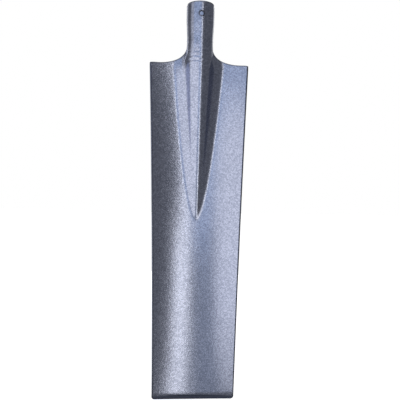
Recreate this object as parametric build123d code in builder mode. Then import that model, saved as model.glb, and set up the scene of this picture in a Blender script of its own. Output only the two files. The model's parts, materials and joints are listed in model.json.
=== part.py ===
from build123d import *
from math import asin, atan2, cos, degrees, hypot, pi, sin, sqrt
import os

# Head of a trenching spade: a narrow pressed blade whose middle ridge runs up into a handle socket.
# Frame: the origin is the centre of the socket mouth, +Z points out of the mouth along the socket,
# and the hollow front of the blade faces -Y. Millimetres.

# Sheet that every pressing is made of
sheet = 2.0

# Socket
mouth_radius = 16.2
waist_radius = 15.2
collar_length = 25.0
step_length = 12.0
socket_length = 46.0
lip_radius = 1.0
screw_hole_radius = 2.5
screw_hole_drop = 15.0

# Blade, seen from the front
shoulder_drop = 75.0
blade_length = 400.0
shoulder_width = 120.0
middle_width = 105.6
edge_width = 97.2
shoulder_corner = 4.0
edge_corner = 5.0
neck_sweep_across = 29.0
neck_sweep_along = 24.0
neck_clearance = 0.5

# Blade, seen from above
floor_depth = 13.0
shoulder_dish = 6.0
middle_dish = 10.5
edge_dish = 6.0

# Ridge down the middle of the blade
ridge_length = 178.0
ridge_half_width = 29.4
ridge_crown_radius = 9.0
valley_radius_top = 8.0
valley_radius_tip = 5.5
crest_bend = 15.0

# Ground cutting edge
bevel_height = 5.5
edge_thickness = 0.7

# Cover behind the ridge: how much it bulges, where it ends, and how deep its edges sit
cover_crown = 0.13
cover_end = 8.0
cover_seat_top = 0.5
cover_seat_end = 1.2
seam_share = 0.75
seam_flare_start = 55.0
seam_flare_end = 92.0

# Weld beads along both seams
bead_radius_socket = 1.2
bead_radius_blade = 1.7
bead_depth_socket = 0.7
bead_depth_blade = 2.5
bead_side_blade = 0.5
bead_start = 1.5

# Stock left inside the socket for the bore to be sized from
bore_stock = 0.3

# Spline points on each half of a section, closer together near the crest
half_points = 16
crowding = 1.2

edge_z = -(shoulder_drop + blade_length)
tip_z = -(shoulder_drop + ridge_length)
bevel_z = edge_z + bevel_height
plan_margin = 2.5
cover_z = tip_z + cover_end
bore_radius = mouth_radius - sheet
neck_x = waist_radius + neck_clearance
sweep_z = -(shoulder_drop - neck_sweep_along)


def ease(share):
    """Rises smoothly from 0 to 1 as its share goes from 0 to 1."""
    share = min(1.0, max(0.0, share))
    return share * share * (3 - 2 * share)


def mix(start, end, share):
    return start + (end - start) * share


def through_middle(start, middle, end, share):
    """The parabola through three values at shares 0, 0.5 and 1."""
    return start * (1 - share) * (1 - 2 * share) + 4 * middle * share * (1 - share) + end * share * (2 * share - 1)


def tube_radius(z):
    """Outer radius of the socket: a collar at the mouth, then a soft step down to the waist."""
    return mix(mouth_radius, waist_radius, ease((-z - collar_length) / step_length))


def blade_share(z):
    return min(1.0, max(0.0, (-z - shoulder_drop) / blade_length))


def half_width(z):
    return through_middle(shoulder_width, middle_width, edge_width, blade_share(z)) / 2


class Section:
    """The front line of the sheet at one height, from the crest outwards along its length."""

    def __init__(self, z):
        self.z = z
        drop = -z - socket_length
        neck = ease(drop / (shoulder_drop - socket_length))
        down = (-z - shoulder_drop) / ridge_length
        self.crest_r = tube_radius(z)
        self.valley_r = valley_radius_top
        if down > 0:
            self.crest_r = mix(waist_radius, ridge_crown_radius, min(1.0, down))
            self.valley_r = mix(valley_radius_top, valley_radius_tip, min(1.0, down))
        dish = through_middle(shoulder_dish, middle_dish, edge_dish, blade_share(z))
        self.dish_r = (half_width(z) ** 2 + dish**2) / (2 * dish)
        valley_x = mix(waist_radius + valley_radius_top, ridge_half_width * sqrt(max(0.0, 1 - down)), neck)
        self.plain = down >= 1
        self.angle = asin(valley_x / (self.dish_r - self.valley_r))
        seat = self.dish_r - (self.dish_r - self.valley_r) * cos(self.angle)
        floor = mix(seat, floor_depth, neck)
        self.dish_y = floor - self.dish_r
        self.valley = (valley_x, self.dish_y + (self.dish_r - self.valley_r) * cos(self.angle))
        fall = (floor_depth + waist_radius) / (hypot(ridge_length + shoulder_drop - socket_length, crest_bend) - crest_bend)
        crest_y = -tube_radius(z) + fall * (hypot(max(0.0, drop), crest_bend) - crest_bend)
        self.crest_y = crest_y + self.crest_r
        reach = self.crest_r + self.valley_r
        lift = self.crest_y - self.valley[1]
        self.flank = sqrt(max(0.0, self.valley[0] ** 2 + lift**2 - reach**2))
        self.slope = atan2(self.valley[0], lift) - atan2(self.flank, reach)
        if drop <= 0:
            self.flank = 0.0
            self.slope = pi / 2
        self.ends = [
            self.crest_r * self.slope,
            self.crest_r * self.slope + self.flank,
            self.crest_r * self.slope + self.flank + self.valley_r * (self.slope + self.angle),
        ]

    def at(self, length, depth=0.0):
        """A point that far from the crest along the front line and that deep behind it."""
        if self.plain:
            turn = length / self.dish_r
            radius = self.dish_r + depth
            return radius * sin(turn), self.dish_y + radius * cos(turn)
        if length <= self.ends[0]:
            turn = length / self.crest_r
            x = self.crest_r * sin(turn)
            y = self.crest_y - self.crest_r * cos(turn)
        elif length <= self.ends[1]:
            turn = self.slope
            along = length - self.ends[0]
            x = self.crest_r * sin(turn) + along * cos(turn)
            y = self.crest_y - self.crest_r * cos(turn) + along * sin(turn)
        elif length <= self.ends[2]:
            turn = self.slope - (length - self.ends[1]) / self.valley_r
            x = self.valley[0] - self.valley_r * sin(turn)
            y = self.valley[1] + self.valley_r * cos(turn)
        else:
            turn = -self.angle - (length - self.ends[2]) / self.dish_r
            x = -self.dish_r * sin(turn)
            y = self.dish_y + self.dish_r * cos(turn)
        return x - depth * sin(turn), y + depth * cos(turn)

    def full_length(self):
        """How far the sheet is drawn: to the seam on the socket, past the plan outline on the blade."""
        seam = self.crest_r * self.slope
        drop = -self.z - socket_length
        if drop <= 0:
            return seam
        wide = half_width(self.z) + plan_margin
        rest = self.dish_r * asin(min(1.0, wide / self.dish_r))
        if not self.plain:
            rest += self.ends[2] - self.dish_r * self.angle
        return mix(seam, rest, ease(drop / (0.7 * (shoulder_drop - socket_length))))


def sheet_section(z, front=0.0, back=sheet):
    """The sheet cut across at one height, between two depths behind its front line."""
    line = Section(z)
    full = line.full_length()
    shares = [(step / half_points) ** crowding for step in range(half_points + 1)]
    places = [-share for share in reversed(shares[1:])] + shares

    def side(depth):
        right = [line.at(full * share, depth) for share in shares]
        return [Vector(-x, y) for x, y in reversed(right[1:])] + [Vector(x, y) for x, y in right]

    near, far = side(front), side(back)
    with BuildSketch(Plane.XY.offset(z)) as section:
        with BuildLine():
            add(Edge.make_spline(near, parameters=places))
            Line(near[-1], far[-1])
            add(Edge.make_spline(far, parameters=places))
            Line(far[0], near[0])
        make_face()
    return section.sketch



class Seam:
    """Where the cover's edge sits in the blade at one height."""

    def __init__(self, z):
        self.z = z
        self.line = Section(z)
        self.flare = ease((-z - seam_flare_start) / (seam_flare_end - seam_flare_start))
        self.length = self.line.ends[0]
        if z < -socket_length:
            self.length = mix(self.line.ends[1], self.line.ends[2], seam_share * self.flare)

    def seat(self):
        share = max(0.0, (-self.z - shoulder_drop) / (-cover_z - shoulder_drop))
        return self.line.at(self.length, sheet * mix(cover_seat_top, cover_seat_end, share))

    def bead(self):
        depth = mix(bead_depth_socket, bead_depth_blade, self.flare)
        x, y = self.line.at(self.length + bead_side_blade * self.flare, depth)
        return x, y, mix(bead_radius_socket, bead_radius_blade, self.flare)


def blade_wall(z):
    """The sheet, with bore stock behind it in the collar."""
    spare = bore_stock * (1 - ease((-z - collar_length) / step_length))
    return sheet_section(z, back=sheet + spare)


def cover_section(z):
    """The cover cut across at one height: half the socket at the mouth, a flat arch behind the ridge."""
    seam = Seam(z)
    x, y = seam.seat()
    spare = bore_stock * (1 - ease((-z - collar_length) / step_length))
    bulge = mix(waist_radius - sheet / 2, y + cover_crown * x, seam.flare) - y
    if z >= -socket_length:
        bulge = x
    radius = (x**2 + bulge**2) / (2 * bulge)
    centre = y + bulge - radius
    turn = atan2(x, y - centre)

    def arch(r):
        return [(-r * sin(turn), centre + r * cos(turn)), (0, centre + r), (r * sin(turn), centre + r * cos(turn))]

    outer, inner = arch(radius + sheet / 2), arch(radius - sheet / 2 - spare)
    with BuildSketch(Plane.XY.offset(z)) as section:
        with BuildLine():
            ThreePointArc(*outer)
            Line(outer[2], inner[2])
            ThreePointArc(*inner)
            Line(inner[0], outer[0])
        make_face()
    return section.sketch


def bead_section(z, side):
    x, y, radius = Seam(z).bead()
    with BuildSketch(Plane.XY.offset(z)) as section:
        with Locations((side * x, y)):
            Circle(radius)
    return section.sketch


# Heights at which the sections are drawn, in stretches that are lofted one after another.
# Two close heights at each end of a stretch make it run on smoothly into the next one.
collar_heights = [0.0, -collar_length]
neck_heights = [-collar_length, -26.5, -31.0, -35.5, -collar_length - step_length, -41.0, -socket_length]
neck_heights += [-47.5, -50.0, -55.0, -61.0, -68.0, -shoulder_drop, -82.0, -85.0]
cover_heights = [-85.0, -88.0, -102.0, -122.0, -145.0, -168.0, -190.0, -208.0, -222.0, -234.0]
ridge_heights = cover_heights + [-244.0, -252.0, -262.0, -272.0, -275.0]
dish_heights = [-275.0, -279.0, -320.0, -370.0, -420.0, -460.0, bevel_z]
bead_stretches = [
    [-bead_start, -collar_length],
    [-collar_length, -31.0, -collar_length - step_length],
    [-collar_length - step_length, -socket_length],
    [-socket_length, -48.0, -56.0, -64.0, -72.0, -80.0, -88.0],
    [-88.0, -91.0, -120.0, -150.0, -180.0, -205.0, -225.0, -238.0, cover_z],
]
past_edge = 2.0
past_edge_cut = (sheet - edge_thickness) * (bevel_height + past_edge) / bevel_height

with BuildPart() as left_weld:
    for heights in bead_stretches:
        loft([bead_section(z, -1) for z in heights])
left_weld.part.label = "left_weld"

with BuildPart() as right_weld:
    for heights in bead_stretches:
        loft([bead_section(z, 1) for z in heights])
right_weld.part.label = "right_weld"

with BuildPart() as blade:
    for heights in [collar_heights, neck_heights, ridge_heights, dish_heights]:
        loft([blade_wall(z) for z in heights])
    loft([sheet_section(bevel_z), sheet_section(edge_z - past_edge, front=past_edge_cut)], ruled=True)
    with BuildSketch(Plane.XZ) as plan:
        with BuildLine():
            top = 1.0
            clear_x = mouth_radius + top
            clear_z = -socket_length + top
            Polyline((0, top), (clear_x, top), (clear_x, clear_z), (neck_x, clear_z), (neck_x, sweep_z))
            EllipticalCenterArc(
                (neck_x + neck_sweep_across, sweep_z), neck_sweep_across, neck_sweep_along, 180, arc_size=90
            )
            Line((neck_x + neck_sweep_across, -shoulder_drop), (shoulder_width / 2, -shoulder_drop))
            ThreePointArc(
                (shoulder_width / 2, -shoulder_drop),
                (middle_width / 2, -shoulder_drop - blade_length / 2),
                (edge_width / 2, edge_z),
            )
            Line((edge_width / 2, edge_z), (0, edge_z))
            mirror(about=Plane.YZ)
        make_face()
        fillet(plan.vertices().sort_by(Axis.Y)[:2], edge_corner)
        across = plan.vertices().sort_by(Axis.X)
        fillet([across[0], across[-1]], shoulder_corner)
    extrude(amount=mouth_radius + sheet + floor_depth, both=True, mode=Mode.INTERSECT)
    with BuildSketch(Plane.XY):
        Circle(bore_radius)
    extrude(amount=-collar_length, mode=Mode.SUBTRACT)
    with BuildSketch(Plane.XZ):
        with Locations((0, -screw_hole_drop)):
            Circle(screw_hole_radius)
    extrude(amount=mouth_radius + sheet, mode=Mode.SUBTRACT)
    fillet(blade.faces().sort_by(Axis.Z)[-1].edges().sort_by(SortBy.LENGTH)[-1], lip_radius)
    add(left_weld.part, mode=Mode.SUBTRACT)
    add(right_weld.part, mode=Mode.SUBTRACT)
blade.part.label = "blade"

with BuildPart() as socket_cover:
    for heights in [collar_heights, neck_heights, cover_heights + [cover_z]]:
        loft([cover_section(z) for z in heights])
    with BuildSketch(Plane.XY):
        Circle(bore_radius)
    extrude(amount=-collar_length, mode=Mode.SUBTRACT)
    fillet(socket_cover.faces().sort_by(Axis.Z)[-1].edges().sort_by(SortBy.LENGTH)[-1], lip_radius)
    add(blade.part, mode=Mode.SUBTRACT)
    add(left_weld.part, mode=Mode.SUBTRACT)
    add(right_weld.part, mode=Mode.SUBTRACT)
socket_cover.part.label = "socket_cover"

os.makedirs("parts", exist_ok=True)
for piece in [blade, socket_cover, left_weld, right_weld]:
    print(piece.part.label, piece.part.volume, [round(s.volume) for s in piece.part.solids()], piece.part.is_valid)
    export_step(piece.part, f"parts/{piece.part.label}.step")
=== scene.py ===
import json
from math import atan2, cos, exp, hypot, pi, radians, sin, sqrt, tan

import bpy
from mathutils import Matrix, Vector, kdtree

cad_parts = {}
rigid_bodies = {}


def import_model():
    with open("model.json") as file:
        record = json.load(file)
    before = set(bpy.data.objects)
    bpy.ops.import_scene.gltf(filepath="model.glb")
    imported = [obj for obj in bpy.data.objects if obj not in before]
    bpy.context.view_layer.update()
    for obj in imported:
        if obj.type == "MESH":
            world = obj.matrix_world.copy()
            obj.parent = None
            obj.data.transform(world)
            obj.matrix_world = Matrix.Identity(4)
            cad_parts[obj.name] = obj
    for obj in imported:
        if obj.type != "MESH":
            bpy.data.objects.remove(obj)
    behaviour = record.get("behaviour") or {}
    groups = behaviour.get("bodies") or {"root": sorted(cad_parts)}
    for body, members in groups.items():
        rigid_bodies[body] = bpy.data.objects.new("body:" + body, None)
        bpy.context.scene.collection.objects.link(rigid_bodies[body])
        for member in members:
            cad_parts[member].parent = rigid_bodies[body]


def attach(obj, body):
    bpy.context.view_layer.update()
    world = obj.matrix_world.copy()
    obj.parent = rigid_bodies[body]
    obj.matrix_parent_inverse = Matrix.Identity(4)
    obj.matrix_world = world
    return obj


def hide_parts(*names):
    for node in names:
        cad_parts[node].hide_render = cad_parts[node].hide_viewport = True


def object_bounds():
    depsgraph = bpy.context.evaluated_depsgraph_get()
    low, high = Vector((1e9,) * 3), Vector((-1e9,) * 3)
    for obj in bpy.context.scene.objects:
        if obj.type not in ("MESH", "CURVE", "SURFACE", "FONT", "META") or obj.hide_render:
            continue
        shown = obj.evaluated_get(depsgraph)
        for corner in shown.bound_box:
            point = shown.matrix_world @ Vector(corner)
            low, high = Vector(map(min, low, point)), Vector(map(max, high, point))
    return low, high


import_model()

# Head of a trenching spade, painted all over in blue-grey hammered enamel: the blade's front pressing
# with the front half of the socket, the cover behind it, and the two weld beads that join them.
# The sizes below are in millimetres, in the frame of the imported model; meshes are made in metres.

cad_low, cad_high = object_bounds()
mm = 0.001

# Sheet, socket and blade
sheet = 2.0
mouth_radius, waist_radius = 16.2, 15.2
collar_length, step_length, socket_length = 16.0, 28.0, 46.0
screw_hole_radius, screw_hole_z = 2.5, -15.0
shoulder_drop, blade_length = 75.0, 400.0
shoulder_width, middle_width, edge_width = 119.1, 105.7, 97.8
floor_depth = 8.5
shoulder_dish, middle_dish, edge_dish = 7.0, 9.0, 5.5
ridge_length, ridge_crown_radius, crest_bend = 184.0, 8.5, 15.0
valley_radius_neck, valley_radius_top, valley_radius_tip = 8.0, 17.5, 14.0
bevel_height, edge_thickness = 5.5, 0.7

# Plan outline: the shoulders slope down from the neck to the corners, and the cutting edge bows out
shoulder_top_z, shoulder_fall = -69.6, 0.8
neck_half_width, neck_sweep_across, neck_sweep_along = 15.7, 36.5, 19.0
shoulder_corner, edge_corner, edge_bow = 1.3, 4.0, 1.7

# Rounding of the sheet's edges
lip_rounding, seam_rounding, rim_rounding, edge_rounding, hole_rounding = 0.85, 0.12, 0.9, 0.2, 0.35

# Cover, seams and weld beads
cover_crown, cover_end = 0.13, 8.0
cover_seat_top, cover_seat_end = 0.5, 1.2
seam_share, seam_flare_start, seam_flare_end = 0.62, 55.0, 92.0
bead_radius_socket, bead_radius_blade = 1.2, 1.7
bead_depth_socket, bead_depth_blade, bead_side_blade, bead_start = 0.7, 2.5, 0.5, 3.0

# How finely the meshes are made: millimetres between rows, and points or steps across
socket_row, shoulder_row, blade_row, cover_row, bead_row = 0.9, 0.8, 2.2, 1.4, 3.0
sweep_steps, half_points, cover_points, hole_steps, rim_steps = 46, 50, 34, 4, 4
hole_reach = screw_hole_radius + hole_rounding

shoulder_z = -shoulder_drop
edge_z = shoulder_z - blade_length
tip_z = shoulder_z - ridge_length
bevel_z = edge_z + bevel_height
cover_z = tip_z + cover_end


def ease(share):
    share = min(1.0, max(0.0, share))
    return share * share * (3 - 2 * share)


def mix(start, end, share):
    return start + (end - start) * share


def through_middle(start, middle, end, share):
    bow = middle - (start + end) / 2
    return mix(start, end, share) + 4 * bow * share * (1 - share)


def tube_radius(z):
    return mix(mouth_radius, waist_radius, ease((-z - collar_length) / step_length))


def blade_share(z):
    return min(1.0, max(0.0, (shoulder_z - z) / blade_length))


def half_width(z):
    return through_middle(shoulder_width, middle_width, edge_width, blade_share(z)) / 2


class Section:
    """The front line of the pressing at one height: crest, valley and dish arcs that touch one another."""

    def __init__(self, z):
        self.z = z
        drop = -z - socket_length
        neck = ease(drop / (shoulder_drop - socket_length))
        down = min(1.0, max(0.0, (shoulder_z - z) / ridge_length))
        self.crest_r = mix(tube_radius(z), ridge_crown_radius, down)
        self.valley_r = mix(mix(valley_radius_neck, valley_radius_top, neck), valley_radius_tip, down)
        dish = through_middle(shoulder_dish, middle_dish, edge_dish, blade_share(z))
        self.dish_r = (half_width(z) ** 2 + dish**2) / (2 * dish)
        beside = (self.dish_r - valley_radius_neck) ** 2 - (waist_radius + valley_radius_neck) ** 2
        self.dish_y = mix(self.dish_r - sqrt(beside), floor_depth, neck) - self.dish_r
        run = ridge_length + shoulder_drop - socket_length
        fall = (floor_depth + waist_radius) / (hypot(run, crest_bend) - crest_bend)
        crest_y = fall * (hypot(max(0.0, drop), crest_bend) - crest_bend) - tube_radius(z)
        self.crest_y = crest_y + self.crest_r
        self.plain = down >= 1
        if self.plain:
            return
        far, near = self.dish_r - self.valley_r, self.crest_r + self.valley_r
        apart = self.crest_y - self.dish_y
        up = (far**2 - near**2 + apart**2) / (2 * apart)
        self.valley = (sqrt(max(0.0, far**2 - up**2)), self.dish_y + up) if drop > 0 else (near, 0.0)
        self.slope = atan2(self.valley[0], self.crest_y - self.valley[1])
        self.angle = atan2(self.valley[0], self.valley[1] - self.dish_y)
        self.crest_end = self.crest_r * self.slope
        self.valley_end = self.crest_end + self.valley_r * (self.slope + self.angle)

    def at(self, length, depth=0.0):
        """x and y of a point that far along the front line from the crest, and that deep behind it."""
        side, length = (-1, -length) if length < 0 else (1, length)
        if self.plain or length > self.valley_end:
            turn = length / self.dish_r
            if not self.plain:
                turn = self.angle + (length - self.valley_end) / self.dish_r
            radius = self.dish_r + depth
            return side * radius * sin(turn), self.dish_y + radius * cos(turn)
        if length > self.crest_end:
            turn = self.slope - (length - self.crest_end) / self.valley_r
            radius = self.valley_r + depth
            return side * (self.valley[0] - radius * sin(turn)), self.valley[1] + radius * cos(turn)
        turn, radius = length / self.crest_r, self.crest_r - depth
        return side * radius * sin(turn), self.crest_y - radius * cos(turn)

    def length_to(self, x):
        """How far along the front line its point at that distance from the middle lies."""
        low, high = 0.0, self.crest_end if self.z >= -socket_length else 90.0
        for _ in range(40):
            middle = (low + high) / 2
            low, high = (middle, high) if self.at(middle)[0] < x else (low, middle)
        return (low + high) / 2


sections = {}


def section(z):
    key = round(z, 4)
    if key not in sections:
        sections[key] = Section(z)
    return sections[key]


def seam(z):
    """The cover's edge and the weld bead at one height: flare, seat point, bead point and radius."""
    line = section(z)
    flare = ease((-z - seam_flare_start) / (seam_flare_end - seam_flare_start))
    length = mix(tube_radius(z) * pi / 2, mix(line.crest_end, line.valley_end, seam_share), flare)
    share = max(0.0, (shoulder_z - z) / (shoulder_z - cover_z))
    seat = line.at(length, sheet * mix(cover_seat_top, cover_seat_end, share))
    depth = mix(bead_depth_socket, bead_depth_blade, flare)
    bead = line.at(length + bead_side_blade * flare, depth)
    return flare, seat, bead, mix(bead_radius_socket, bead_radius_blade, flare)


class Arch:
    """The cover's outer line at one height: half the socket at the mouth, a flat arch behind the ridge."""

    def __init__(self, z):
        flare, (x, y), _, _ = seam(z)
        bulge = x if z >= -socket_length else mix(waist_radius - sheet / 2, y + cover_crown * x, flare) - y
        radius = (x**2 + bulge**2) / (2 * bulge)
        self.centre = y + bulge - radius
        self.radius = radius + sheet / 2
        self.full = atan2(x, y - self.centre) * self.radius

    def at(self, length, depth=0.0):
        turn, radius = length / self.radius, self.radius - depth
        return radius * sin(turn), self.centre + radius * cos(turn)


# Sheets


def corner_arc(before, corner, after, radius, steps=9):
    """The corner's rounding in plan, from the leg before it to the leg after it."""
    corner = Vector(corner)
    a, b = (Vector(before) - corner).normalized(), (Vector(after) - corner).normalized()
    half = a.angle(b) / 2
    middle = corner + (a + b).normalized() * radius / sin(half)
    start, end = corner + a * radius * cos(half) / sin(half), corner + b * radius * cos(half) / sin(half)
    first, turn = start - middle, (start - middle).angle_signed(end - middle)
    return [middle + Matrix.Rotation(-turn * step / steps, 2) @ first for step in range(steps + 1)]


def spread(start, end, spacing):
    count = max(1, round(abs(end - start) / spacing))
    return [mix(start, end, step / count) for step in range(count)]


def blade_outline():
    """Right half of the plan outline from the bottom of the socket to the cutting edge, x and z."""
    leg, edge_slope = 6.0, 0.06
    sweep_x, sweep_z = neck_half_width + neck_sweep_across, shoulder_top_z + neck_sweep_along
    points = []
    for step in range(sweep_steps):
        turn = (pi / 2) * step / sweep_steps
        swept = Vector((neck_sweep_across * cos(turn), neck_sweep_along * sin(turn)))
        points.append(Vector((sweep_x, sweep_z)) - swept)
    corner = Vector((half_width(shoulder_z), shoulder_top_z - shoulder_fall))

    def shoulder(x):
        return Vector((x, shoulder_top_z - shoulder_fall * ((x - sweep_x) / (corner.x - sweep_x)) ** 2))

    def side(z):
        return Vector((half_width(z), z))

    rounded = corner_arc(shoulder(corner.x - leg / 2), corner, side(corner.y - leg), shoulder_corner)
    points += [shoulder(x) for x in spread(sweep_x, rounded[0].x, shoulder_row)] + rounded
    foot = side(edge_z) + Vector((0, edge_bow))
    inner = foot - Vector((leg, leg * edge_slope))
    lower = corner_arc(side(foot.y + leg), foot, inner, edge_corner)
    heights = spread(rounded[-1].y - 1, bevel_z + 1, blade_row)
    heights += [bevel_z + 0.5, bevel_z + 0.15, bevel_z - 0.15, bevel_z - 0.35]
    points += [side(z) for z in heights if z > lower[0].y + 0.2]
    return points + lower


def bow_at(x, z):
    """How far the cutting edge's bow lifts a point off the middle, fading out above the ground edge."""
    fade = 60.0
    return edge_bow * (x / half_width(edge_z)) ** 2 * ease((bevel_z + fade - z) / fade)


class Grid:
    """A sheet's front and back as rows of points across it, joined round every edge by a rounded rim."""

    def __init__(self, name, place, front_depth, back_depth):
        self.name, self.place = name, place
        self.front_depth, self.back_depth = front_depth, back_depth
        self.points, self.faces, self.rim_points = [], [], []

    def add(self, length, z, depth):
        self.points.append(self.place(length, z, depth))
        return len(self.points) - 1

    def sides(self, places):
        front = [[self.add(l, z, self.front_depth(z)) for l, z in row] for row in places]
        back = [[self.add(l, z, self.back_depth(z)) for l, z in row] for row in places]
        return front, back

    def skin(self, front, back, skip):
        for i in range(len(front) - 1):
            for j in range(len(front[0]) - 1):
                if skip(i, j):
                    continue
                for grid, order in ((front, 1), (back, -1)):
                    quad = [grid[i][j], grid[i + 1][j], grid[i + 1][j + 1], grid[i][j + 1]]
                    self.faces.append(quad[::order])

    def rim(self, loop):
        """loop holds (front vertex, back vertex, length, z, outward length, outward z, rounding)."""
        rings = [[corner[0] for corner in loop]]
        for half in (0, 1):
            for step in range(1 - half, rim_steps + 1 - half):
                turn = (pi / 2) * (half + step / rim_steps)
                ring = []
                for _, _, length, z, out_l, out_z, rounding in loop:
                    near, far = self.front_depth(z), self.back_depth(z)
                    rounding = min(rounding, (far - near) / 2.02)
                    depth = far - rounding if half else near + rounding
                    depth -= rounding * cos(turn)
                    ring.append(self.add(length + out_l * sin(turn), z + out_z * sin(turn), depth))
                rings.append(ring)
        self.rim_points += rings[rim_steps]
        rings.append([corner[1] for corner in loop])
        for upper, lower in zip(rings, rings[1:]):
            for k in range(len(loop)):
                after = (k + 1) % len(loop)
                self.faces.append([upper[k], upper[after], lower[after], lower[k]])

    def finish(self, material, flip=False):
        mesh = bpy.data.meshes.new(self.name)
        faces = [face[::-1] for face in self.faces] if flip else self.faces
        mesh.from_pydata([Vector(p) * mm for p in self.points], [], faces)
        mesh.validate()
        tree = kdtree.KDTree(len(self.rim_points))
        for k, index in enumerate(self.rim_points):
            tree.insert(self.points[index], k)
        tree.balance()
        # Each point's distance in millimetres to the nearest edge, which the enamel uses for painted shade
        # along the edges.
        inward = mesh.attributes.new("from_edge", "FLOAT", "POINT")
        inward.data.foreach_set("value", [tree.find(point)[2] for point in self.points])
        mesh.polygons.foreach_set("use_smooth", [True] * len(mesh.polygons))
        mesh.materials.append(material)
        piece = bpy.data.objects.new(self.name, mesh)
        bpy.context.scene.collection.objects.link(piece)
        return piece


def shares_across(full):
    """Shares of the half section, with points just beside the screw hole."""
    reach = hole_reach / full
    half = [reach * k / hole_steps for k in range(hole_steps + 1)]
    half += [mix(reach, 1.0, k / half_points) for k in range(1, half_points + 1)]
    return [-share for share in reversed(half[1:])] + half


def round_the_hole(length, z):
    """Bends the square of rows and columns round the screw hole into a circle."""
    across, up = length, z - screw_hole_z
    square, fade = max(abs(across), abs(up)), 1.6 * hole_reach
    if square < 1e-6 or square > hole_reach + fade:
        return length, z
    shrink = mix(square / hypot(across, up), 1.0, ease((square - hole_reach) / fade))
    return across * shrink, screw_hole_z + up * shrink


def press_marks(x, z):
    """Faint ripples that the press leaves in the crown of the neck."""
    depth, middle_z, long, wide = 0.16, -68.0, 90.0, 130.0
    fade = exp(-((z - middle_z) ** 2) / long) * exp(-(x**2) / wide)
    return depth * fade * sin((z - middle_z - 2) * 1.15 + x * 0.12)


def blade_place(length, z, depth):
    x, y = section(z).at(length, depth)
    return x, y + press_marks(x, z), z + bow_at(x, z)


def blade_front_depth(z):
    return (sheet - edge_thickness) * min(1.0, max(0.0, (bevel_z - z) / bevel_height))


def blade_rounding(z):
    """How far the sheet's edge is rounded at one height: seam, open rim, ground edge."""
    rounding = mix(seam_rounding, rim_rounding, ease((-z - socket_length - 4) / 16))
    return mix(rounding, edge_rounding, ease((bevel_z - z) / (bevel_height * 0.8)))


def socket_heights():
    """Heights of the rows from the lip to the neck, and the number of the first row of the screw hole."""
    above = spread(-lip_rounding, screw_hole_z + hole_reach, socket_row)
    beside = [screw_hole_z + hole_reach * (1 - k / hole_steps) for k in range(2 * hole_steps + 1)]
    return above + beside + spread(beside[-1] - socket_row, -socket_length, socket_row), len(above)


def blade_edge(heights):
    """The pressing's right edge as (length along the section, z, outward length, outward z)."""
    edge = [(section(z).crest_end, z, 1.0, 0.0) for z in heights]
    plan = []
    for x, z in blade_outline():
        z -= bow_at(x, z)
        plan.append(Vector((section(z).length_to(x), z)))
    for k, point in enumerate(plan[:-1]):
        along = (plan[k + 1] - plan[max(0, k - 1)]).normalized()
        edge.append((point.x, point.y, -along.y, along.x))
    return edge + [(plan[-1].x, plan[-1].y, 0.0, -1.0)]


def make_blade(material):
    grid = Grid("blade_pressing", blade_place, blade_front_depth, lambda z: sheet)
    heights, hole_row = socket_heights()
    shares = shares_across(section(-1.0).crest_end - seam_rounding)
    places, outward = [], []
    for length, z, out_l, out_z in blade_edge(heights):
        r = blade_rounding(z)
        inset, level = length - out_l * r, z - out_z * r
        places.append([round_the_hole(inset * share, level) for share in shares])
        outward.append((out_l * r, out_z * r, r))
    front, back = grid.sides(places)
    last, count = len(places) - 1, len(shares)
    first, side = count // 2 - hole_steps, 2 * hole_steps

    def in_hole(i, j):
        return hole_row <= i < hole_row + side and first <= j < first + side

    grid.skin(front, back, in_hole)

    def corner(i, j, out_l, out_z, r):
        return (front[i][j], back[i][j], *places[i][j], out_l, out_z, r)

    loop = [corner(0, count - 1, outward[0][0], lip_rounding, lip_rounding)]
    loop += [corner(0, j, 0.0, lip_rounding, lip_rounding) for j in range(count - 2, 0, -1)]
    loop += [corner(0, 0, -outward[0][0], lip_rounding, lip_rounding)]
    loop += [corner(i, 0, -outward[i][0], outward[i][1], outward[i][2]) for i in range(1, last)]
    loop += [corner(last, j, 0.0, -edge_rounding, edge_rounding) for j in range(count)]
    loop += [corner(i, count - 1, *outward[i]) for i in range(last - 1, 0, -1)]
    grid.rim(loop)
    ring = [(hole_row, first + k) for k in range(side)]
    ring += [(hole_row + k, first + side) for k in range(side)]
    ring += [(hole_row + side, first + side - k) for k in range(side)]
    ring += [(hole_row + side - k, first) for k in range(side)]
    hole = []
    for i, j in ring:
        length, z = places[i][j]
        shrink = -hole_rounding / hypot(length, z - screw_hole_z)
        hole.append(corner(i, j, length * shrink, (z - screw_hole_z) * shrink, hole_rounding))
    grid.rim(hole)
    return grid.finish(material)


def cover_place(length, z, depth):
    x, y = arch(z).at(length, depth)
    return x, y, z


arches = {}


def arch(z):
    key = round(z, 4)
    if key not in arches:
        arches[key] = Arch(z)
    return arches[key]


def make_cover(material):
    grid = Grid("socket_cover_sheet", cover_place, lambda z: 0.0, lambda z: sheet)
    heights = spread(-lip_rounding, cover_z + rim_rounding, cover_row) + [cover_z + rim_rounding]
    shares = [k / cover_points for k in range(-cover_points, cover_points + 1)]
    places = [[((arch(z).full - seam_rounding) * share, z) for share in shares] for z in heights]
    front, back = grid.sides(places)
    grid.skin(front, back, lambda i, j: False)
    last, count = len(places) - 1, len(shares)

    def corner(i, j, out_l, out_z, r):
        return (front[i][j], back[i][j], *places[i][j], out_l, out_z, r)

    side = seam_rounding
    loop = [corner(0, count - 1, side, lip_rounding, lip_rounding)]
    loop += [corner(0, j, 0.0, lip_rounding, lip_rounding) for j in range(count - 2, 0, -1)]
    loop += [corner(0, 0, -side, lip_rounding, lip_rounding)]
    loop += [corner(i, 0, -side, 0.0, side) for i in range(1, last)]
    loop += [corner(last, 0, -side, -rim_rounding, rim_rounding)]
    loop += [corner(last, j, 0.0, -rim_rounding, rim_rounding) for j in range(1, count - 1)]
    loop += [corner(last, count - 1, side, -rim_rounding, rim_rounding)]
    loop += [corner(i, count - 1, side, 0.0, side) for i in range(last - 1, 0, -1)]
    grid.rim(loop)
    return grid.finish(material, flip=True)


# Weld beads


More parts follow.
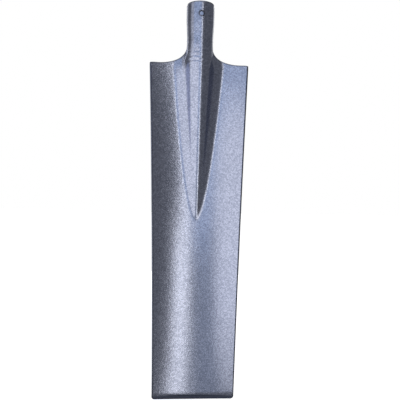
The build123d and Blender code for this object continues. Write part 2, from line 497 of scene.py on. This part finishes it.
class Tree:
    """A geometry node tree with named inputs."""

    def __init__(self, name, inputs):
        self.group = bpy.data.node_groups.new(name, "GeometryNodeTree")
        face = self.group.interface
        face.new_socket("Geometry", in_out="INPUT", socket_type="NodeSocketGeometry")
        self.ids = {}
        for label, kind in inputs:
            self.ids[label] = face.new_socket(label, in_out="INPUT", socket_type=kind).identifier
        face.new_socket("Geometry", in_out="OUTPUT", socket_type="NodeSocketGeometry")
        self.start = self.group.nodes.new("NodeGroupInput")
        self.end = self.group.nodes.new("NodeGroupOutput")

    def node(self, kind, settings=None, **sockets):
        made = self.group.nodes.new(kind)
        for name, value in (settings or {}).items():
            setattr(made, name, value)
        for name, value in sockets.items():
            socket = made.inputs[int(name[1:]) if name[1:].isdigit() else name.replace("_", " ")]
            if isinstance(value, bpy.types.NodeSocket):
                self.group.links.new(value, socket)
            else:
                socket.default_value = value
        return made


def ripple_tree():
    """Overlapping leaning ripples on a core, along a path whose point radius is the bead's."""
    tree = Tree(
        "weld_ripples",
        [
            ("Spacing", "NodeSocketFloat"),
            ("Width", "NodeSocketFloat"),
            ("Lean", "NodeSocketFloat"),
            ("Unevenness", "NodeSocketFloat"),
            ("Seed", "NodeSocketInt"),
            ("Material", "NodeSocketMaterial"),
        ],
    )
    put, given = tree.node, tree.start.outputs
    length = {"Curve": given["Geometry"], "Length": given["Spacing"]}
    path = put("GeometryNodeResampleCurve", {"mode": "LENGTH"}, **length).outputs[0]
    radius = put("GeometryNodeInputRadius").outputs[0]
    tangent = put("GeometryNodeInputTangent").outputs[0]
    low = put("ShaderNodeMath", {"operation": "SUBTRACT"}, _0=1.0, _1=given["Unevenness"]).outputs[0]
    high = put("ShaderNodeMath", {"operation": "ADD"}, _0=1.0, _1=given["Unevenness"]).outputs[0]
    random = put("FunctionNodeRandomValue", {"data_type": "FLOAT"}, Seed=given["Seed"], _2=low, _3=high)
    across = put("ShaderNodeMath", {"operation": "MULTIPLY"}, _0=radius, _1=random.outputs[1]).outputs[0]
    wide = put("ShaderNodeMath", {"operation": "MULTIPLY"}, _0=across, _1=given["Width"]).outputs[0]
    along = put("ShaderNodeMath", {"operation": "MULTIPLY"}, _0=given["Spacing"], _1=0.95).outputs[0]
    turned = put("FunctionNodeAlignEulerToVector", {"axis": "Z"}, Vector=tangent).outputs[0]
    lean = put("ShaderNodeCombineXYZ", X=given["Lean"], Y=0.0, Z=0.0).outputs[0]
    local = {"rotation_type": "EULER", "space": "LOCAL"}
    placing = {
        "Instance": put("GeometryNodeMeshUVSphere", Segments=14, Rings=8, Radius=1.0).outputs[0],
        "Rotation": put("FunctionNodeRotateEuler", local, Rotation=turned, Rotate_By=lean).outputs[0],
        "Scale": put("ShaderNodeCombineXYZ", X=wide, Y=wide, Z=along).outputs[0],
    }
    ripples = put("GeometryNodeInstanceOnPoints", Points=path, **placing).outputs[0]
    real = put("GeometryNodeRealizeInstances", Geometry=ripples).outputs[0]
    ring = put("GeometryNodeCurvePrimitiveCircle", {"mode": "RADIUS"}, Resolution=12, Radius=0.9).outputs[0]
    core = put("GeometryNodeCurveToMesh", Curve=path, Profile_Curve=ring, Scale=radius, Fill_Caps=True)
    joined = put("GeometryNodeJoinGeometry")
    tree.group.links.new(real, joined.inputs[0])
    tree.group.links.new(core.outputs[0], joined.inputs[0])
    smooth = put("GeometryNodeSetShadeSmooth", Geometry=joined.outputs[0]).outputs[0]
    dressed = put("GeometryNodeSetMaterial", Geometry=smooth, Material=given["Material"]).outputs[0]
    tree.group.links.new(dressed, tree.end.inputs[0])
    return tree


# Metres along the bead from ripple to ripple, width to the bead's own, radians of lean, spread of the widths
ripple_sizes = {"Spacing": 0.0021, "Width": 1.04, "Lean": 0.5, "Unevenness": 0.07}


def make_weld(name, side, tree, material, seed):
    """One bead along a seam, left (-1) or right (1)."""
    heights = spread(-bead_start, cover_z, bead_row) + [cover_z]
    path = bpy.data.curves.new(name + "_path", "CURVE")
    path.dimensions = "3D"
    line = path.splines.new("POLY")
    line.points.add(len(heights) - 1)
    for point, z in zip(line.points, heights):
        _, _, (x, y), radius = seam(z)
        point.co = (side * x * mm, y * mm, z * mm, 1.0)
        point.radius = radius * mm
    holder = bpy.data.objects.new(name + "_path", path)
    bpy.context.scene.collection.objects.link(holder)
    maker = holder.modifiers.new("ripples", "NODES")
    maker.node_group = tree.group
    for label, value in {**ripple_sizes, "Seed": seed, "Material": material}.items():
        maker[tree.ids[label]] = value
    bpy.context.view_layer.update()
    shown = holder.evaluated_get(bpy.context.evaluated_depsgraph_get())
    mesh = bpy.data.meshes.new_from_object(shown)
    mesh.name = name
    holder.modifiers.remove(maker)
    bpy.data.objects.remove(holder)
    # Far from every edge, so the beads get none of the painted edge shade.
    inward = mesh.attributes.new("from_edge", "FLOAT", "POINT")
    inward.data.foreach_set("value", [9.0] * len(mesh.vertices))
    if not mesh.materials:
        mesh.materials.append(material)
    piece = bpy.data.objects.new(name, mesh)
    bpy.context.scene.collection.objects.link(piece)
    return piece


# Materials


class Paint:
    """Wraps a socket of one material's nodes, so that expressions on it add the nodes."""

    def __init__(self, nodes, socket):
        self.nodes, self.socket = nodes, socket

    def _math(self, operation, *others):
        made = self.nodes.new("ShaderNodeMath")
        made.operation = operation
        for place, value in enumerate(others):
            connect(self.nodes, value, made.inputs[place])
        return Paint(self.nodes, made.outputs[0])

    def __add__(self, other):
        return self._math("ADD", self, other)

    __radd__ = __add__

    def __mul__(self, other):
        return self._math("MULTIPLY", self, other)

    __rmul__ = __mul__

    def __sub__(self, other):
        return self._math("SUBTRACT", self, other)

    def __rsub__(self, other):
        return self._math("SUBTRACT", other, self)

    def between(self, low, high):
        """0 below low, 1 above high, smooth in between."""
        made = self.nodes.new("ShaderNodeMapRange")
        made.interpolation_type = "SMOOTHSTEP"
        connect(self.nodes, self, made.inputs["Value"])
        made.inputs["From Min"].default_value, made.inputs["From Max"].default_value = low, high
        return Paint(self.nodes, made.outputs[0])

    def tint(self, start, end):
        """The colour start where this is 0, and end where it is 1."""
        made = self.nodes.new("ShaderNodeMix")
        made.data_type = "RGBA"
        connect(self.nodes, self, made.inputs[0])
        connect(self.nodes, start, made.inputs[6])
        connect(self.nodes, end, made.inputs[7])
        return Paint(self.nodes, made.outputs[2])


def connect(nodes, value, socket):
    if isinstance(value, Paint):
        nodes.id_data.links.new(value.socket, socket)
    elif isinstance(value, (tuple, list)) and socket.type == "RGBA":
        socket.default_value = (*value[:3], 1.0)
    else:
        socket.default_value = value


class Finish:
    """One material and its nodes."""

    def __init__(self, name):
        self.material = bpy.data.materials.new(name)
        self.material.use_nodes = True
        self.nodes = self.material.node_tree.nodes
        self.shader = next(node for node in self.nodes if node.type == "BSDF_PRINCIPLED")

    def node(self, kind, settings=None, out=0, **sockets):
        made = self.nodes.new(kind)
        for name, value in (settings or {}).items():
            setattr(made, name, value)
        for name, value in sockets.items():
            connect(self.nodes, value, made.inputs[name.replace("_", " ")])
        return Paint(self.nodes, made.outputs[out])

    def surface(self, **sockets):
        for name, value in sockets.items():
            connect(self.nodes, value, self.shader.inputs[name.replace("_", " ")])

    def noise(self, place, scale, roughness):
        sockets = {"Vector": place, "Scale": scale, "Detail": 3.0, "Roughness": roughness}
        return self.node("ShaderNodeTexNoise", out="Fac", **sockets)

    def cells(self, place, scale, feature, out, **more):
        sockets = {"Vector": place, "Scale": scale, "Randomness": 1.0, **more}
        return self.node("ShaderNodeTexVoronoi", {"feature": feature}, out=out, **sockets)


# Hammered enamel: colours, cells, grains and clouds to the metre, depth of the dimples in metres
enamel_light, enamel_dark = (0.57, 0.60, 0.73), (0.33, 0.355, 0.45)
# Painted shade: the first colour on the next line darkens the sheet's rounded edges, the second the ground
# bevel at the cutting edge.
painted_edge_shade, painted_bevel_shade = (0.10, 0.11, 0.14), (0.055, 0.065, 0.105)
cells_to_metre, grains_to_metre, clouds_to_metre, dimple_depth = 720, 1700, 60, 0.00014


def hammered_enamel(name, coarse):
    """Blue-grey hammered enamel: flakes drift into small cells, each with its own tone. The sheet's edges
    and the ground bevel are darkened with painted shade.
    """
    paint = Finish(name)
    place = paint.node("ShaderNodeTexCoord", out="Object")
    tints = paint.cells(place, cells_to_metre / coarse, "F1", "Color")
    tone = paint.node("ShaderNodeSeparateColor", out="Red", Color=tints)
    cells = paint.cells(place, cells_to_metre / coarse, "SMOOTH_F1", "Distance", Smoothness=0.3)
    grains = paint.noise(place, grains_to_metre / coarse, 0.6)
    clouds = paint.noise(place, clouds_to_metre, 0.55)
    dimples = 1 - cells.between(0.2, 0.7)
    from_edge = paint.node("ShaderNodeAttribute", {"attribute_name": "from_edge"}, out="Fac")
    # Painted shade along every sheet edge: the dark line that rounded edges show is painted into the colour
    # within about 2.5 mm of the edge.
    rim = 1 - from_edge.between(0.8, 2.5)
    height = paint.node("ShaderNodeSeparateXYZ", out="Z", Vector=place) + (grains - 0.5) * 0.0012
    # The ground bevel above the cutting edge: its extra roughness is the ground finish, and its near-black
    # colour is painted shade for the dark it shows facing down.
    ground = 1 - height.between(bevel_z * mm - 0.0004, bevel_z * mm + 0.0005)
    body = 0.5 + (tone - 0.5) * 0.75 + (grains - 0.5) + (clouds - 0.5) * 0.35 + (dimples - 0.6) * 0.3
    colour = body.between(-0.15, 1.15).tint(enamel_dark, enamel_light)
    # Painted shade along the edges.
    colour = (rim * 0.8).tint(colour, painted_edge_shade)
    # Painted shade on the ground bevel.
    colour = (ground * 0.9).tint(colour, painted_bevel_shade)
    relief = dimples * 0.6 + tone * 0.15 + grains * 0.25
    bump = paint.node("ShaderNodeBump", Strength=0.2, Distance=dimple_depth * coarse, Height=relief)
    roughness = 0.2 + (grains - 0.5) * 0.1 + ground * 0.1 + rim * 0.06
    paint.surface(Base_Color=colour, Metallic=1.0, Roughness=roughness, Normal=bump)
    return paint.material


# Studio


def seen_rays(nodes):
    """1 for what the camera, gloss and glass see."""
    light_path = nodes.new("ShaderNodeLightPath")
    camera, gloss, glass = (
        Paint(nodes, light_path.outputs[f"Is {ray} Ray"]) for ray in ("Camera", "Glossy", "Transmission")
    )
    return camera + gloss + glass


def white_where_seen(name, colour, glow):
    """Pale and lit as it is, with a glow of its own for the camera, gloss and glass."""
    paint = Finish(name)
    paint.surface(Base_Color=colour, Roughness=0.9)
    paint.surface(Emission_Color=(1.0, 1.0, 1.0), Emission_Strength=seen_rays(paint.nodes) * glow)
    return paint.material


def flat_sheet(name, corners, material):
    mesh = bpy.data.meshes.new(name)
    mesh.from_pydata(corners, [], [list(range(len(corners)))])
    mesh.materials.append(material)
    sheet_object = bpy.data.objects.new(name, mesh)
    bpy.context.scene.collection.objects.link(sheet_object)
    return sheet_object


def make_backdrop():
    """A wide pale floor, and a dark cloth hung round the object, which only gloss sees."""
    floor_z, reach = cad_low.z - 0.0002, 40.0
    corners = [(x * reach, y * reach, floor_z) for x, y in ((-1, -1), (1, -1), (1, 1), (-1, 1))]
    floor = flat_sheet("floor", corners, white_where_seen("pale_floor", (0.8, 0.8, 0.8), 0.8))
    floor.visible_glossy = floor.visible_shadow = False
    cloth = Finish("dark_cloth")
    cloth.surface(Base_Color=(0.02, 0.02, 0.02), Emission_Color=cloth_colour, Emission_Strength=cloth_glow)
    low, high = Vector((0, 0, -3.5)), Vector((0, 0, 3.0))
    for k in range(cloth_strips):
        turns = (mix(-cloth_reach, cloth_reach, (k + side) / cloth_strips) for side in (0, 1))
        left, right = (direction(turn) * cloth_distance for turn in turns)
        corners = [left + low, right + low, right + high, left + high]
        strip = flat_sheet(f"cloth_{k}", corners, cloth.material)
        strip.visible_camera = strip.visible_shadow = strip.visible_diffuse = False


object_middle = Vector((0.0, 0.0, -0.235))


def direction(azimuth):
    """Level, towards the camera at azimuth 0, and to the right of the picture as it grows."""
    return Vector((sin(radians(azimuth)), -cos(radians(azimuth)), 0.0))


def softbox(name, turned, heights, radiance, colour, distance=1.3):
    """An upright panel of light between two azimuths and two heights above the object's middle."""
    (left, right), (low, high) = turned, heights
    middle = direction((left + right) / 2)
    lamp = bpy.data.lights.new(name, "AREA")
    lamp.shape = "RECTANGLE"
    lamp.size, lamp.size_y = 2 * distance * tan(radians(right - left) / 2), high - low
    lamp.energy = pi * lamp.size * lamp.size_y * radiance
    lamp.color = colour
    holder = bpy.data.objects.new(name, lamp)
    bpy.context.scene.collection.objects.link(holder)
    holder.location = object_middle + middle * distance + Vector((0, 0, (low + high) / 2))
    holder.rotation_mode = "QUATERNION"
    holder.rotation_quaternion = (-middle).to_track_quat("-Z", "Y")
    holder.visible_camera = False
    return holder


cloth_colour, cloth_glow = (0.9, 0.92, 1.0), 0.135
cloth_reach, cloth_distance, cloth_strips = 170.0, 2.4, 16
pale, lavender, blue = (1.0, 0.99, 0.97), (0.92, 0.93, 0.97), (0.62, 0.76, 1.0)


def make_lights():
    softbox("left_front_upper", (-42, -7), (-0.05, 0.46), 1.0, lavender)
    softbox("left_front_middle", (-42, -10), (-0.45, -0.05), 1.05, lavender)
    softbox("left_front_lower", (-42, -10), (-0.75, -0.45), 0.8, lavender)
    softbox("left_side", (-95, -42), (-0.75, 0.46), 1.0, lavender)
    softbox("far_left_side", (-130, -95), (-0.75, 0.40), 0.9, lavender)
    softbox("blue_card_upper", (-7, 8), (-0.15, 0.46), 0.70, blue)
    softbox("blue_card_lower", (-10, 6), (-0.75, -0.15), 0.25, blue)
    softbox("blue_card_above", (-62, 5), (0.46, 1.1), 0.62, blue)
    softbox("side_above", (-90, -62), (0.46, 1.1), 0.45, lavender)
    softbox("front_strip_upper", (9, 14.5), (-0.05, 0.9), 1.9, pale)
    softbox("front_strip_middle", (9, 20), (-0.50, -0.05), 1.6, pale)
    softbox("front_strip_lower", (9, 18), (-0.80, -0.50), 1.7, pale)
    softbox("back_left_softbox", (-185, -145), (-0.7, 0.9), 0.9, pale)
    softbox("back_right_softbox", (145, 185), (-0.7, 0.9), 0.9, pale)
    world = bpy.data.worlds.new("studio")
    bpy.context.scene.world = world
    world.use_nodes = True
    nodes = world.node_tree.nodes
    background = next(node for node in nodes if node.type == "BACKGROUND")
    background.inputs["Color"].default_value = (1.0, 1.0, 1.0, 1.0)
    connect(nodes, seen_rays(nodes) * 0.65 + 0.35, background.inputs["Strength"])


# Camera: yaw, pitch and roll of the object before it, its distance, and the aim beside its middle
view_yaw, view_pitch, view_roll = 5.127, 1.036, 1.152
view_distance, view_aside, view_above = 0.6521, -0.003784, -0.000206
lens_pixels, frame_pixels, sensor_width = 544.28, 400, 36.0


def make_camera():
    yaw = Matrix.Rotation(radians(view_yaw), 3, "Z")
    pitch = Matrix.Rotation(-radians(view_pitch), 3, "X")
    roll = Matrix.Rotation(radians(view_roll), 3, "Y")
    turned = (roll @ pitch @ yaw).transposed()
    data = bpy.data.cameras.new("camera")
    data.sensor_width = sensor_width
    data.lens = lens_pixels * sensor_width / frame_pixels
    camera = bpy.data.objects.new("camera", data)
    bpy.context.scene.collection.objects.link(camera)
    right, ahead, up = (turned @ Vector(axis) for axis in ((1, 0, 0), (0, 1, 0), (0, 0, 1)))
    place = object_middle + turned @ Vector((-view_aside, -view_distance, -view_above))
    camera.matrix_world = Matrix(
        (
            (right.x, up.x, -ahead.x, place.x),
            (right.y, up.y, -ahead.y, place.y),
            (right.z, up.z, -ahead.z, place.z),
            (0, 0, 0, 1),
        )
    )
    bpy.context.scene.camera = camera


bpy.context.scene.view_settings.view_transform = "Standard"
make_camera()
make_backdrop()
make_lights()

sheet_enamel = hammered_enamel("hammered_enamel", 1.0)
weld_enamel = hammered_enamel("hammered_enamel_on_weld", 1.15)

blade_piece = make_blade(sheet_enamel)
cover_piece = make_cover(sheet_enamel)
ripples = ripple_tree()
left_piece = make_weld("left_weld_bead", -1, ripples, weld_enamel, 3)
right_piece = make_weld("right_weld_bead", 1, ripples, weld_enamel, 11)

for piece, node, slot in (
    (blade_piece, "blade", "painted_sheet"),
    (cover_piece, "socket_cover", "painted_sheet"),
    (left_piece, "left_weld", "painted_weld"),
    (right_piece, "right_weld", "painted_weld"),
):
    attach(piece, "root")
    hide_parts(node)
